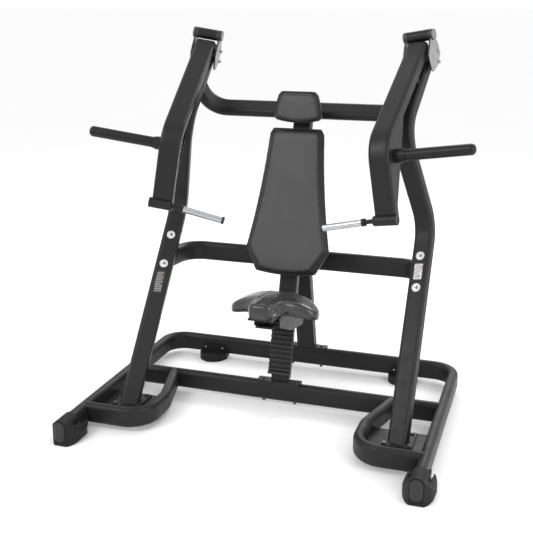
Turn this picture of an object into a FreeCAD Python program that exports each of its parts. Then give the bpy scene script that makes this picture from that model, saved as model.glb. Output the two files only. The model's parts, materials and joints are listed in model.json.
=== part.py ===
import FreeCAD, Part
import math
import os

# Plate-loaded chest press machine: a floor frame of flat-oval tube, two leaning
# uprights, two swinging press arms with weight horns, a padded back and an
# adjustable saddle seat.
# Millimetres.  +Z up, the machine's front faces -Y, X = 0 is the mirror plane.
# The pieces are laid out about the base, then saved with the origin on the floor
# at the middle of the machine's outer box.

V = FreeCAD.Vector
UP = V(0, 0, 1)
SIDE = V(1, 0, 0)

# ---------------------------------------------------------------- driving sizes
BOX_MIDDLE_Y = 26.26       # middle of the outer box, front to back, in the layout

WALL = 3.0                 # wall of every steel tube
PLATE = 8.0                # flange and base plates

OVAL_THIN = 50.0           # flat-oval base tube, thickness
OVAL_TALL = 100.0          # flat-oval base tube, height
BASE_Z = 70.0              # centre height of the base tubes
RAIL_X = 808.0             # side rail centre
RAIL_FRONT_Y = -628.0      # front end of the side rails
REAR_Y = 615.0             # centre of the rear base tube
REAR_RADIUS = 110.0        # bend radius of the rear corners
MID_Y = 105.0              # centre of the middle cross beam
LOOP_FRONT_Y = -407.0      # loop tube, run that meets the rail
LOOP_X = 497.0             # loop tube, inner run
LOOP_RADIUS = 120.0
LOOP_BEND_Y = -172.0       # where the inner run turns towards the rail
LOOP_END_X = 570.0         # where it meets the middle beam

BOX_WIDE = 90.0            # upright tube, width across the machine
BOX_DEEP = 60.0
BOX_ROUND = 16.0           # corner radius of upright and arm tube
ARM_WIDE = 98.0            # press arm tube

# The press arm and its upright lie in one tilted plane on each side.
PIVOT = V(542.5, 585.4, 1781.6)   # centre of the right pivot shaft
PLANE_TILT = 9.3           # outer end of the pivot shaft is higher, degrees
PLANE_YAW = 11.8           # outer end of the pivot shaft is further forward, degrees

UPRIGHT_FOOT = (-0.711, 1790.0)   # slope of the lower run, and how far down it reaches
UPRIGHT_KNEE = (160.0, 886.6)     # forward of and below the pivot
UPRIGHT_SHOULDER = (363.0, 412.0)
UPRIGHT_TOP = (-88.0, 71.0)
UPRIGHT_RADIUS = 170.0

ARM_SLOPE = 0.66           # drop of the arm's upper run per unit forward
ARM_TOP = (22.0, 52.5)     # start of the arm tube's centre line
ARM_AXIS_DROP = 38.0       # the arm's centre line lies this far below the pivot
ARM_LOWER_F = 613.0        # lower run of the arm, forward of the pivot
ARM_BOTTOM_D = 762.0
ARM_RADIUS = 140.0

SHAFT_R = 12.5
SHAFT_GAP = 0.05           # running clearance of the shaft in its bushes
BUSH_R = 17.0
SLEEVE_R = 27.0
BOSS_R = 27.0
SLEEVE_HALF = 49.0
BOSS_START = 51.0
BOSS_END = 70.0

HORN_R = 25.0
HORN_F = 551.5             # weight horn axis, forward of the pivot
HORN_D = 501.0             # weight horn axis, below the pivot
HORN_END = 404.0           # horn tip, outward of the arm's middle plane
HORN_SEAT_R = 24.0         # the horn where it is held in the arm and its collar
HORN_SEAT_END = 96.0       # start of the bare length that takes the plates
HORN_COLLAR_R = 31.0

BARREL_R = 24.0            # lower cross barrel that carries the handle
BARREL_F = 640.0
BARREL_D = 767.7
BARREL_IN = -50.0
BARREL_OUT = 58.7
HANDLE_DIR = V(-0.962, 0.139, -0.236)
NECK_LENGTH = 59.0
GRIP_LENGTH = 190.0
GRIP_R = 15.5

POST_WIDE = 90.0
POST_DEEP = 60.0
POST_LEAN = 0.287          # rearward run of the centre post per unit of height
POST_BASE_Y = 129.0        # post centre at the top of the middle beam
POST_TOP_Z = 1492.0
COLUMN_BASE_Y = 613.0      # rear column centre at the top of the rear tube
COLUMN_TOP_Y = 476.0
MID_U_Y = 455.0            # cross run of the middle U beam
MID_U_Z = 664.0
MID_U_X = 612.0            # its legs
UPPER_U_RADIUS = 120.0

RACK_WIDE = 112.0
RACK_RIBS = 10
RACK_PITCH = 23.5
RACK_BOTTOM_Z = 165.0

SEAT_HALF = 213.0
SEAT_TOP_Z = 597.0
SEAT_BOTTOM_Z = 532.0
SEAT_TILT = 6.5            # the seat leans back, degrees
SEAT_NOSE_Y = -208.0
SEAT_TAIL_Y = 132.0

LEVER_Y = -55.0            # pivot pin of the seat release lever
LEVER_Z = 494.0

BACK_BOTTOM = V(0, 159.0, 662.0)  # bottom middle of the back cushion's front face
BACK_LENGTH = 719.0
CUSHION = 48.0             # thickness of the back cushion
BOARD = 14.0               # thickness of the boards behind the cushions

os.makedirs("parts", exist_ok=True)


# ---------------------------------------------------------------- general helpers
def unit(vector):
    """Vector of length one along the given vector."""
    result = V(vector)
    result.normalize()
    return result


def save(name, shapes):
    """Write one node; a list becomes a group of separate solids."""
    shape = Part.Compound(shapes) if isinstance(shapes, list) else shapes.copy()
    shape.translate(V(0, -BOX_MIDDLE_Y, 0))
    shape.exportStep("parts/" + name + ".step")


def mirrored(shape):
    """The same piece on the other side of the machine."""
    return shape.mirror(V(0, 0, 0), SIDE)


def save_pair(name, shapes):
    """Write a right-hand node and its mirror image."""
    group = shapes if isinstance(shapes, list) else [shapes]
    save("right_" + name, list(group) if len(group) > 1 else group[0])
    flipped = [mirrored(piece) for piece in group]
    save("left_" + name, flipped if len(flipped) > 1 else flipped[0])


def rod(start, end, radius):
    """Cylinder between two points."""
    run = end - start
    return Part.makeCylinder(radius, run.Length, start, run)


def ring(start, end, outer, inner):
    """Straight round tube between two points."""
    return rod(start, end, outer).cut(rod(start, end, inner))


def block(low, high):
    """Axis-aligned box between two corners given as tuples."""
    size = [high[i] - low[i] for i in range(3)]
    return Part.makeBox(size[0], size[1], size[2], V(*low))


def rounded_outline(centre, wide, deep, wide_size, deep_size, radius):
    """Closed wire of a rounded rectangle; wide and deep are its unit axes."""
    half_w = wide_size / 2
    half_d = deep_size / 2
    radius = min(radius, half_w, half_d)

    def at(w, d):
        return centre + wide * w + deep * d

    edges = []
    corners = [(1, 1), (-1, 1), (-1, -1), (1, -1)]
    bend = radius * (1 - math.sqrt(0.5))
    for i, (sw, sd) in enumerate(corners):
        along_first = i % 2 == 0
        on_wide = at(sw * (half_w - radius), sd * half_d)
        on_deep = at(sw * half_w, sd * (half_d - radius))
        middle = at(sw * (half_w - bend), sd * (half_d - bend))
        start, end = (on_deep, on_wide) if along_first else (on_wide, on_deep)
        edges.append(Part.Arc(start, middle, end).toShape())
        next_w, next_d = corners[(i + 1) % 4]
        if along_first:
            target = at(next_w * (half_w - radius), next_d * half_d)
        else:
            target = at(next_w * half_w, next_d * (half_d - radius))
        if (target - end).Length > 0.01:
            edges.append(Part.makeLine(end, target))
    return Part.Wire(edges)


def bent_path(points, radius):
    """Straight runs through the points, joined by tangent arcs."""
    edges = []
    start = points[0]
    for before, corner, after in zip(points[:-2], points[1:-1], points[2:]):
        incoming = unit(before - corner)
        outgoing = unit(after - corner)
        half = incoming.getAngle(outgoing) / 2
        reach = radius / math.tan(half)
        first = corner + incoming * reach
        last = corner + outgoing * reach
        middle = corner + unit(incoming + outgoing) * (radius / math.sin(half) - radius)
        if (first - start).Length > 0.01:
            edges.append(Part.makeLine(start, first))
        edges.append(Part.Arc(first, middle, last).toShape())
        start = last
    edges.append(Part.makeLine(start, points[-1]))
    return Part.Wire(edges)


def swept(points, radius, normal, wide_size, deep_size, corner):
    """Solid bar of rounded section along a bent path in a plane.

    The section's wide axis stays along the plane's normal.
    """
    path = bent_path(points, radius)
    ahead = unit(points[1] - points[0])
    wide = unit(normal)
    outline = rounded_outline(points[0], wide, ahead.cross(wide), wide_size, deep_size, corner)
    pipe = Part.BRepOffsetAPI.MakePipeShell(path)
    pipe.setBiNormalMode(wide)
    pipe.add(outline)
    pipe.build()
    pipe.makeSolid()
    return pipe.shape()


def tube(points, radius, normal, wide_size, deep_size, corner):
    """Outer solid and hollow tube along a bent path."""
    outer = swept(points, radius, normal, wide_size, deep_size, corner)
    inner = swept(points, radius, normal, wide_size - 2 * WALL, deep_size - 2 * WALL,
                  corner - WALL)
    return outer, outer.cut(inner)


def straight_bar(start, end, wide, wide_size, deep_size, corner):
    """Solid straight bar of rounded section."""
    ahead = unit(end - start)
    outline = rounded_outline(start, wide, ahead.cross(wide), wide_size, deep_size, corner)
    return Part.Face(outline).extrude(end - start)


def straight_tube(start, end, wide, wide_size, deep_size, corner):
    """Outer solid and hollow straight tube."""
    outer = straight_bar(start, end, wide, wide_size, deep_size, corner)
    inner = straight_bar(start, end, wide, wide_size - 2 * WALL, deep_size - 2 * WALL,
                         corner - WALL)
    return outer, outer.cut(inner)


def hexagon(centre, axis, across, height):
    """Hexagonal prism standing on the given point."""
    axis = unit(axis)
    side = unit(axis.cross(UP) if abs(axis.z) < 0.9 else axis.cross(SIDE))
    other = axis.cross(side)
    reach = across / math.sqrt(3)
    points = []
    for step in range(7):
        angle = math.radians(60 * step)
        points.append(centre + side * (reach * math.cos(angle)) + other * (reach * math.sin(angle)))
    return Part.Face(Part.makePolygon(points)).extrude(axis * height)


def bolt_set(head_seat, nut_seat, radius):
    """Hex bolt with two washers and a nut; seats are the faces it clamps."""
    axis = unit(nut_seat - head_seat)
    washer = 2.0
    across = radius * 3.1
    head = hexagon(head_seat - axis * (washer + radius * 1.2), axis, across, radius * 1.2)
    shank_end = nut_seat + axis * (washer + radius * 1.7 + 2)
    bolt = head.fuse(rod(head_seat - axis * washer, shank_end, radius)).removeSplitter()
    nut = hexagon(nut_seat + axis * washer, axis, across, radius * 1.5)
    nut = nut.cut(rod(nut_seat, shank_end, radius))
    top_washer = ring(head_seat - axis * washer, head_seat, radius * 2, radius)
    low_washer = ring(nut_seat, nut_seat + axis * washer, radius * 2, radius)
    return [bolt, nut, top_washer, low_washer]


def button_bolt(seat, inward, length, radius):
    """Round-headed bolt whose head stands on the seat."""
    inward = unit(inward)
    head = Part.makeSphere(radius * 2.1, seat + inward * radius * 1.15)
    half_space = Part.makeCylinder(radius * 4, radius * 6, seat, inward)
    head = head.cut(half_space)
    socket = hexagon(seat - inward * radius * 1.2, inward, radius, radius * 0.9)
    return head.cut(socket).fuse(rod(seat, seat + inward * length, radius)).removeSplitter()


def hole(start, end, radius):
    """Clearance hole for a bolt, a little longer than the bolt's grip."""
    axis = unit(end - start)
    return rod(start - axis, end + axis, radius + 0.4)


# ---------------------------------------------------------------- base frame
def base_tubes():
    """Side rails with the rear tube, the middle beam and the two corner loops."""
    front = V(RAIL_X, RAIL_FRONT_Y, BASE_Z)
    corner = V(RAIL_X, REAR_Y, BASE_Z)
    rail_points = [front, corner, V(-RAIL_X, REAR_Y, BASE_Z), V(-RAIL_X, RAIL_FRONT_Y, BASE_Z)]
    rail_outer, rail = tube(rail_points, REAR_RADIUS, UP, OVAL_TALL, OVAL_THIN, OVAL_THIN / 2)

    beam_outer, beam = straight_tube(V(-RAIL_X, MID_Y, BASE_Z), V(RAIL_X, MID_Y, BASE_Z), UP,
                                     OVAL_TALL, OVAL_THIN, OVAL_THIN / 2)
    beam = beam.cut(rail_outer)

    loop_points = [V(RAIL_X, LOOP_FRONT_Y, BASE_Z), V(LOOP_X, LOOP_FRONT_Y, BASE_Z),
                   V(LOOP_X, LOOP_BEND_Y, BASE_Z), V(LOOP_END_X, MID_Y, BASE_Z)]
    loop_outer, loop = tube(loop_points, LOOP_RADIUS, UP, OVAL_TALL, OVAL_THIN, OVAL_THIN / 2)
    loop = loop.cut(rail_outer).cut(beam_outer)
    return rail_outer, rail, beam_outer, beam, loop_outer, loop


# ---------------------------------------------------------------- tilted arm plane
tilt = math.radians(PLANE_TILT)
yaw = math.radians(PLANE_YAW)
AXIS = V(math.cos(tilt) * math.cos(yaw), -math.cos(tilt) * math.sin(yaw), math.sin(tilt))
FORWARD = unit(AXIS.cross(UP))
DOWN = AXIS.cross(FORWARD)
if DOWN.z > 0:
    DOWN = DOWN * -1


def swing(forward, down, outward=0.0):
    """Point of the right arm plane, measured from the pivot."""
    return PIVOT + FORWARD * forward + DOWN * down + AXIS * outward


def plane_plate(outline, low, high):
    """Flat plate parallel to the arm plane between two outward offsets."""
    points = [swing(f, d, low) for f, d in outline]
    face = Part.Face(Part.makePolygon(points + [points[0]]))
    return face.extrude(AXIS * (high - low))


# ---------------------------------------------------------------- uprights
def upright_parts():
    """Bent upright with its foot flange, the floor plate and the bolts."""
    slope, depth = UPRIGHT_FOOT
    foot = (UPRIGHT_KNEE[0] - slope * (depth - UPRIGHT_KNEE[1]), depth)
    points = [swing(*foot), swing(*UPRIGHT_KNEE), swing(*UPRIGHT_SHOULDER), swing(*UPRIGHT_TOP)]
    outer, hollow = tube(points, UPRIGHT_RADIUS, AXIS, BOX_WIDE, BOX_DEEP, BOX_ROUND)
    return points, outer, hollow


FLOOR_PLATE_Z = 46.0       # underside of the plate between loop and rail
FOOT_FLANGE = 10.0


def foot_parts(upright_points, outer, hollow, rail_outer, loop_outer):
    """Cut the upright square to its flange and build flange, plate and bolts."""
    top = FLOOR_PLATE_Z + PLATE + FOOT_FLANGE
    ahead = unit(upright_points[1] - upright_points[0])
    centre = upright_points[0] + ahead * ((top - upright_points[0].z) / ahead.z)
    below = block((centre.x - 300, centre.y - 300, -200), (centre.x + 300, centre.y + 300, top))
    hollow = hollow.cut(below)
    flange_low = (centre.x - 68, centre.y - 62, top - FOOT_FLANGE)
    flange_high = (centre.x + 68, centre.y + 96, top)
    flange = block(flange_low, flange_high)
    plate = block((LOOP_X, centre.y - 84, FLOOR_PLATE_Z),
                  (RAIL_X, centre.y + 112, FLOOR_PLATE_Z + PLATE))
    plate = plate.cut(loop_outer).cut(rail_outer)
    plate = max(plate.Solids, key=lambda solid: solid.Volume)
    bolts = []
    for dx, dy in ((-50, 78), (50, 78), (-57, -48), (57, -48)):
        head = V(centre.x + dx, centre.y + dy, top)
        nut = V(head.x, head.y, FLOOR_PLATE_Z)
        bolts += bolt_set(head, nut, 5.0)
        flange = flange.cut(hole(head, nut, 5.0))
        plate = plate.cut(hole(head, nut, 5.0))
    upright = hollow.fuse(flange).removeSplitter()
    return upright, plate, bolts


# ---------------------------------------------------------------- middle and upper beams
def flange_on_upright(centre, run, deep_axis, length):
    """Flat flange lying on the rear face of an upright run."""
    face_point = centre + deep_axis * (BOX_DEEP / 2)
    outline = rounded_outline(face_point, AXIS, run, 62.0, length, 10.0)
    return Part.Face(outline).extrude(deep_axis * PLATE)


def lower_run_point(points, z):
    """Point of the upright's lower run at a height."""
    ahead = points[1] - points[0]
    return points[0] + ahead * ((z - points[0].z) / ahead.z)


def mid_u_beam(points):
    """Horizontal U beam between the rear faces of the two lower runs."""
    start = lower_run_point(points, MID_U_Z)
    leg = V(start.x, start.y, MID_U_Z)
    leg_x = leg.x - 34
    path = [V(leg.x, leg.y, MID_U_Z), V(leg_x, MID_U_Y, MID_U_Z),
            V(-leg_x, MID_U_Y, MID_U_Z), V(-leg.x, leg.y, MID_U_Z)]
    outer, hollow = tube(path, REAR_RADIUS, UP, OVAL_TALL, OVAL_THIN, OVAL_THIN / 2)
    run = unit(points[1] - points[0])
    rear = unit(AXIS.cross(run))
    if rear.y < 0:
        rear = rear * -1
    flange = flange_on_upright(start, run, rear, 156.0)
    keep_out = straight_bar(start - run * 300, start + run * 300, AXIS, 200.0,
                            BOX_DEEP + 2 * PLATE, 1.0)
    hollow = hollow.cut(keep_out).cut(mirrored(keep_out))
    hollow = max(hollow.Solids, key=lambda solid: solid.Volume)
    beam = hollow.fuse([flange, mirrored(flange)]).removeSplitter()
    return outer, beam, start, run, rear


def upper_u_beam(points):
    """U beam square to the upper runs; its cross run passes behind the head pad."""
    run = unit(points[3] - points[2])
    rear = AXIS.cross(run)
    if rear.z > 0:
        rear = rear * -1
    start = points[2] + run * ((points[3] - points[2]).Length * 0.54)
    leg_dir = unit(V(0, rear.y, rear.z))
    drop = 146.0
    end = start + leg_dir * (drop + BOX_DEEP / 2)
    shift = 22.0
    path = [start, V(end.x - shift, end.y, end.z),
            V(-end.x + shift, end.y, end.z), V(-start.x, start.y, start.z)]
    normal = unit((path[1] - path[0]).cross(path[2] - path[1]))
    outer, hollow = tube(path, UPPER_U_RADIUS, normal, OVAL_TALL, OVAL_THIN, OVAL_THIN / 2)
    flange = flange_on_upright(start, run, rear, 150.0)
    keep_out = straight_bar(start - run * 300, start + run * 300, AXIS, 200.0,
                            BOX_DEEP + 2 * PLATE, 1.0)
    hollow = hollow.cut(keep_out).cut(mirrored(keep_out))
    hollow = max(hollow.Solids, key=lambda solid: solid.Volume)
    beam = hollow.fuse([flange, mirrored(flange)]).removeSplitter()
    return outer, beam, start, run, rear, end


# ---------------------------------------------------------------- pivot and stops
CHEEK = [(28, 18), (75, 95), (54, 163), (28, 172), (-35, 146), (-84, 92), (-68, 50), (-28, 6)]
CHEEK_IN = 58.0            # inner face of the cheek plates
CHEEK_OUT = 66.0
CHEEK_BOLTS = [(-48.0, 80.0), (-48.0, 131.0)]


def upright_axis_down(forward):
    """Depth below the pivot of the upper run's centre line."""
    (f0, d0), (f1, d1) = UPRIGHT_SHOULDER, UPRIGHT_TOP
    return d0 + (forward - f0) * (d1 - d0) / (f1 - f0)


def pivot_parts(upright):
    """Cheek plates, shaft, end discs, bolts and the drilled upright."""
    shaft = rod(swing(0, 0, -BOSS_END), swing(0, 0, BOSS_END), SHAFT_R)
    cheeks = []
    discs = []
    for sign in (-1, 1):
        low, high = sorted((sign * CHEEK_IN, sign * CHEEK_OUT))
        plate = plane_plate(CHEEK, low, high)
        boss = rod(swing(0, 0, sign * BOSS_START), swing(0, 0, sign * BOSS_END), BOSS_R)
        cheek = plate.fuse(boss).removeSplitter()
        cheek = cheek.cut(rod(swing(0, 0, -BOSS_END), swing(0, 0, BOSS_END), SHAFT_R))
        disc = rod(swing(0, 0, sign * BOSS_END), swing(0, 0, sign * (BOSS_END + 7)), BOSS_R - 1)
        outer_rim = max((edge for edge in disc.Edges if len(edge.Vertexes) == 1),
                        key=lambda edge: (edge.BoundBox.Center - PIVOT).Length)
        discs.append(disc.makeFillet(2.5, [outer_rim]))
        cheeks.append(cheek)
    bolts = []
    for forward, down in CHEEK_BOLTS:
        head = swing(forward, down, CHEEK_OUT)
        nut = swing(forward, down, -CHEEK_OUT)
        bolts += bolt_set(head, nut, 5.0)
        cheeks = [cheek.cut(hole(head, nut, 5.0)) for cheek in cheeks]
        upright = upright.cut(hole(head, nut, 5.0))
        for i, sign in enumerate((-1, 1)):
            spacer = ring(swing(forward, down, sign * BOX_WIDE / 2),
                          swing(forward, down, sign * CHEEK_IN), 11.0, 5.4)
            cheeks[i] = cheeks[i].fuse(spacer).removeSplitter()
    return shaft, cheeks, discs, bolts, upright


def arm_bumper():
    """Rubber stop on the upright's front face where the arm comes to rest."""
    run = unit(V(UPRIGHT_TOP[0] - UPRIGHT_SHOULDER[0], UPRIGHT_TOP[1] - UPRIGHT_SHOULDER[1], 0))
    front = V(-run.y, run.x, 0) if -run.y > 0 else V(run.y, -run.x, 0)
    forward = 128.0
    base_f = forward + front.x * BOX_DEEP / 2
    base_d = upright_axis_down(forward) + front.y * BOX_DEEP / 2
    arm_tilt = math.sqrt(1 + ARM_SLOPE ** 2)
    rear_gap = (base_d - ARM_SLOPE * base_f - ARM_AXIS_DROP) / arm_tilt - BOX_DEEP / 2
    height = rear_gap / abs(front.x * ARM_SLOPE - front.y) * arm_tilt - 3.0
    base = swing(base_f, base_d, 20.0)
    axis = FORWARD * front.x + DOWN * front.y
    seat = rod(base, base + axis * 4, 18.0)
    pad = Part.makeCone(17.0, 13.0, height - 4, base + axis * 4, axis)
    return pad, seat


# ---------------------------------------------------------------- press arm
def arm_parts():
    """Every piece of the right press arm."""
    corner = (ARM_LOWER_F, ARM_SLOPE * ARM_LOWER_F + ARM_AXIS_DROP)
    points = [swing(*ARM_TOP), swing(*corner), swing(ARM_LOWER_F, ARM_BOTTOM_D)]
    outer, hollow = tube(points, ARM_RADIUS, AXIS, ARM_WIDE, BOX_DEEP, BOX_ROUND)
    sleeve_outer = rod(swing(0, 0, -SLEEVE_HALF), swing(0, 0, SLEEVE_HALF), SLEEVE_R)
    sleeve = sleeve_outer.cut(rod(swing(0, 0, -60), swing(0, 0, 60), BUSH_R))
    barrel_start = swing(BARREL_F, BARREL_D, BARREL_IN)
    barrel_end = swing(BARREL_F, BARREL_D, BARREL_OUT)
    barrel_outer = rod(barrel_start, barrel_end, BARREL_R)
    barrel = barrel_outer.cut(rod(barrel_start, barrel_end - AXIS * 8, 13.0))
    arm = hollow.cut(sleeve_outer).cut(barrel_outer)
    arm = max(arm.Solids, key=lambda solid: solid.Volume)

    web = [(378, 312), (404, 322), (440, 404), (601, 742), (618, 700), (606, 440)]
    gusset = plane_plate(web, 41, 45).fuse(plane_plate(web, -45, -41))
    for start, end in zip(web[1:3], web[2:4]):
        across = 4.5 / math.hypot(end[0] - start[0], end[1] - start[1])
        shift = ((end[1] - start[1]) * across, (start[0] - end[0]) * across)
        strip = [start, end, (end[0] + shift[0], end[1] + shift[1]),
                 (start[0] + shift[0], start[1] + shift[1])]
        gusset = gusset.fuse(plane_plate(strip, -41, 41))
    horn_start = swing(HORN_F, HORN_D, -43)
    horn_end = swing(HORN_F, HORN_D, HORN_END)
    horn_seat_end = swing(HORN_F, HORN_D, HORN_SEAT_END)
    horn_seat = rod(horn_start, horn_seat_end, HORN_SEAT_R)
    gusset = gusset.cut(outer).cut(barrel_outer)
    gusset = gusset.cut(rod(horn_start - AXIS * 9, horn_end, HORN_SEAT_R))
    gusset = max(gusset.Solids, key=lambda solid: solid.Volume)
    arm = arm.cut(horn_seat)
    horn = rod(horn_seat_end, horn_end, HORN_R)
    rim = [edge for edge in horn.Edges
           if edge.BoundBox.Center.distanceToPoint(horn_end) < 1]
    horn = horn.makeFillet(19.0, rim).fuse(horn_seat)
    horn = horn.cut(rod(horn_start, horn_end - AXIS * 24, HORN_R - 4))
    collar = rod(swing(HORN_F, HORN_D, 45), swing(HORN_F, HORN_D, 82), HORN_COLLAR_R)
    lip = rod(swing(HORN_F, HORN_D, 82), swing(HORN_F, HORN_D, 94), HORN_R + 2.5)
    collar = collar.fuse(lip).cut(rod(horn_start, horn_end, HORN_SEAT_R)).cut(outer)
    collar = collar.removeSplitter()

    bushes = []
    for sign in (-1, 1):
        body = ring(swing(0, 0, sign * 20), swing(0, 0, sign * SLEEVE_HALF),
                    BUSH_R, SHAFT_R + SHAFT_GAP)
        flange = ring(swing(0, 0, sign * SLEEVE_HALF), swing(0, 0, sign * (SLEEVE_HALF + 1.6)),
                      23.0, SHAFT_R + SHAFT_GAP)
        bushes.append(body.fuse(flange).removeSplitter())

    handle = unit(HANDLE_DIR)
    neck_end = barrel_start + handle * NECK_LENGTH
    grip_end = neck_end + handle * GRIP_LENGTH
    axle = rod(barrel_start, barrel_end - AXIS * 8, 13.0)
    neck = rod(barrel_start - handle * 4, grip_end, 10.5).cut(rod(barrel_start, barrel_end, 40.0))
    shoulder = rod(barrel_start, barrel_start - AXIS * 6, 18.0)
    knob = rod(neck_end - handle * 16, neck_end, 18.0)
    bar = axle.fuse([neck, shoulder, knob]).removeSplitter()
    grip = ring(neck_end, grip_end, GRIP_R, 10.5)
    cap = rod(grip_end, grip_end + handle * 9, 18.0)
    return {"arm_tube": arm, "arm_gusset": gusset, "pivot_sleeve": sleeve,
            "pivot_bushes": bushes, "handle_barrel": barrel, "handle_bar": bar,
            "handle_grip": grip, "grip_end_cap": cap, "weight_horn": horn,
            "horn_collar": collar}


# ---------------------------------------------------------------- floor feet
def front_foot(rail_outer):
    """Moulded foot that caps the rail end and carries a lobe on each side."""
    def at(x, z):
        return V(RAIL_X + x, RAIL_FRONT_Y - 12, z)

    half = [(46, 0), (62, 8), (71, 26), (70, 46), (60, 66), (42, 92), (31, 108)]
    right = [at(x, z) for x, z in half]
    left = [at(-x, z) for x, z in reversed(half)]
    crown = Part.Arc(right[-1], at(0, 124), left[0]).toShape()
    outline = [Part.makeLine(left[i], left[i + 1]) for i in range(len(left) - 1)]
    outline.append(Part.makeLine(left[-1], right[0]))
    outline += [Part.makeLine(right[i], right[i + 1]) for i in range(len(right) - 1)]
    outline.append(crown)
    front_profile = Part.Face(Part.Wire(Part.__sortEdges__(outline))).extrude(V(0, 200, 0))

    y0 = RAIL_FRONT_Y - 12

    def plan(x, y):
        return V(RAIL_X + x, y0 + y, -1)

    lobe_right = Part.Arc(plan(31, 0), plan(70, 92), plan(36, 178)).toShape()
    lobe_left = Part.Arc(plan(-36, 178), plan(-70, 92), plan(-31, 0)).toShape()
    plan_wire = Part.Wire([Part.makeLine(plan(-31, 0), plan(31, 0)), lobe_right,
                           Part.makeLine(plan(36, 178), plan(-36, 178)), lobe_left])
    foot = front_profile.common(Part.Face(plan_wire).extrude(V(0, 0, 130)))
    tab_low = (RAIL_X - 33, y0 + 12, 14)
    tab_high = (RAIL_X + 33, y0 + 196, 68)
    foot = foot.fuse(block(tab_low, tab_high))
    for side in (-1, 1):
        pocket = block((RAIL_X + min(side * 33, side * 47), y0 + 52, 34),
                       (RAIL_X + max(side * 33, side * 47), y0 + 190, 120))
        foot = foot.cut(pocket)
    crown_cut = block((RAIL_X - 80, y0 + 104, 68), (RAIL_X + 80, y0 + 240, 130))
    foot = foot.cut(crown_cut).cut(rail_outer)
    foot = max(foot.Solids, key=lambda solid: solid.Volume)
    screws = []
    for side in (-1, 1):
        for y in (y0 + 72, y0 + 170):
            seat = V(RAIL_X + side * 33, y, 50)
            screws.append(button_bolt(seat, V(-side, 0, 0), 12, 3.0))
            foot = foot.cut(rod(seat, seat - V(side * 12, 0, 0), 3.0))
            rail_hole.append(rod(seat, seat - V(side * 12.1, 0, 0), 3.3))
    return foot.removeSplitter(), screws


def rear_foot(rail_outer):
    """Half-round moulded foot under the rear tube."""
    x = REAR_FOOT_X

    def plan(dx, y):
        return V(x + dx, y, 0)

    back = REAR_Y + 26
    nose = Part.Arc(plan(78, REAR_Y - 36), plan(0, REAR_Y - 112), plan(-78, REAR_Y - 36)).toShape()
    wire = Part.Wire([Part.makeLine(plan(-70, back), plan(70, back)),
                      Part.makeLine(plan(70, back), plan(78, REAR_Y - 36)), nose,
                      Part.makeLine(plan(-78, REAR_Y - 36), plan(-70, back))])
    foot = Part.Face(wire).extrude(V(0, 0, 34))
    tab = block((x - 66, REAR_Y - 34, 20), (x + 66, REAR_Y, 76))
    foot = foot.fuse(tab).cut(rail_outer)
    foot = max(foot.Solids, key=lambda solid: solid.Volume)
    screws = []
    for dx in (-50, 50):
        seat = V(x + dx, REAR_Y - 34, 56)
        screws.append(button_bolt(seat, V(0, 1, 0), 12, 3.0))
        foot = foot.cut(rod(seat, seat + V(0, 12, 0), 3.0))
        rail_hole.append(rod(seat, seat + V(0, 12.1, 0), 3.3))
    return foot.removeSplitter(), screws


REAR_FOOT_X = 540.0
rail_hole = []


# ---------------------------------------------------------------- post, column and brace
lean_up = unit(V(0, POST_LEAN, 1))
lean_front = unit(V(0, -1, POST_LEAN))
MID_TOP = BASE_Z + OVAL_TALL / 2
FRONT_SKIN = POST_DEEP / 2 * math.sqrt(1 + POST_LEAN ** 2)


def post_front(x, z, ahead=0.0):
    """Point ahead of the post's front face at a height."""
    y = POST_BASE_Y + POST_LEAN * (z - MID_TOP) - FRONT_SKIN
    return V(x, y, z) + lean_front * ahead


def saddle_base(y, holder):
    """Bolted base plate with a saddle that sits on a flat-oval tube."""
    base = block((-110, y - 25, MID_TOP - 16), (110, y + 25, MID_TOP + PLATE))
    return base.cut(holder)


def base_bolts(y):
    """The two through bolts of a base plate and their clearance holes."""
    bolts = []
    holes = []
    for x in (-81, 81):
        head = V(x, y, MID_TOP + PLATE)
        nut = V(x, y, BASE_Z - OVAL_TALL / 2)
        bolts += bolt_set(head, nut, 4.5)
        holes.append(hole(head, nut, 4.5))
    return bolts, holes


def centre_post(beam_outer, upper_outer):
    """Leaning post from the middle beam to the upper U beam."""
    start = V(0, POST_BASE_Y - POST_LEAN * 60, MID_TOP - 60)
    end = V(0, POST_BASE_Y + POST_LEAN * (POST_TOP_Z - MID_TOP), POST_TOP_Z)
    outer, hollow = straight_tube(start, end, SIDE, POST_WIDE, POST_DEEP, 12.0)
    hollow = hollow.cut(block((-200, -200, 0), (200, 500, MID_TOP + PLATE)))
    top_cap = straight_bar(end - lean_up * WALL, end, SIDE, POST_WIDE - 5, POST_DEEP - 5, 9.0)
    post = hollow.fuse([saddle_base(MID_Y, beam_outer), top_cap])
    post = post.cut(upper_outer).removeSplitter()
    return outer, max(post.Solids, key=lambda solid: solid.Volume)


def rear_column(rail_outer, mid_outer):
    """Leaning column from the rear tube up to the middle U beam."""
    start = V(0, COLUMN_BASE_Y, MID_TOP)
    end = V(0, COLUMN_TOP_Y, MID_U_Z)
    run = end - start
    outer, hollow = straight_tube(start - run * 0.2, end + run * 0.05, SIDE, 98.0, 62.0, 12.0)
    hollow = hollow.cut(block((-200, 300, 0), (200, 900, MID_TOP + PLATE)))
    hollow = hollow.cut(mid_outer)
    hollow = max(hollow.Solids, key=lambda solid: solid.Volume)
    column = hollow.fuse(saddle_base(REAR_Y, rail_outer)).removeSplitter()
    return max(column.Solids, key=lambda solid: solid.Volume)


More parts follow.
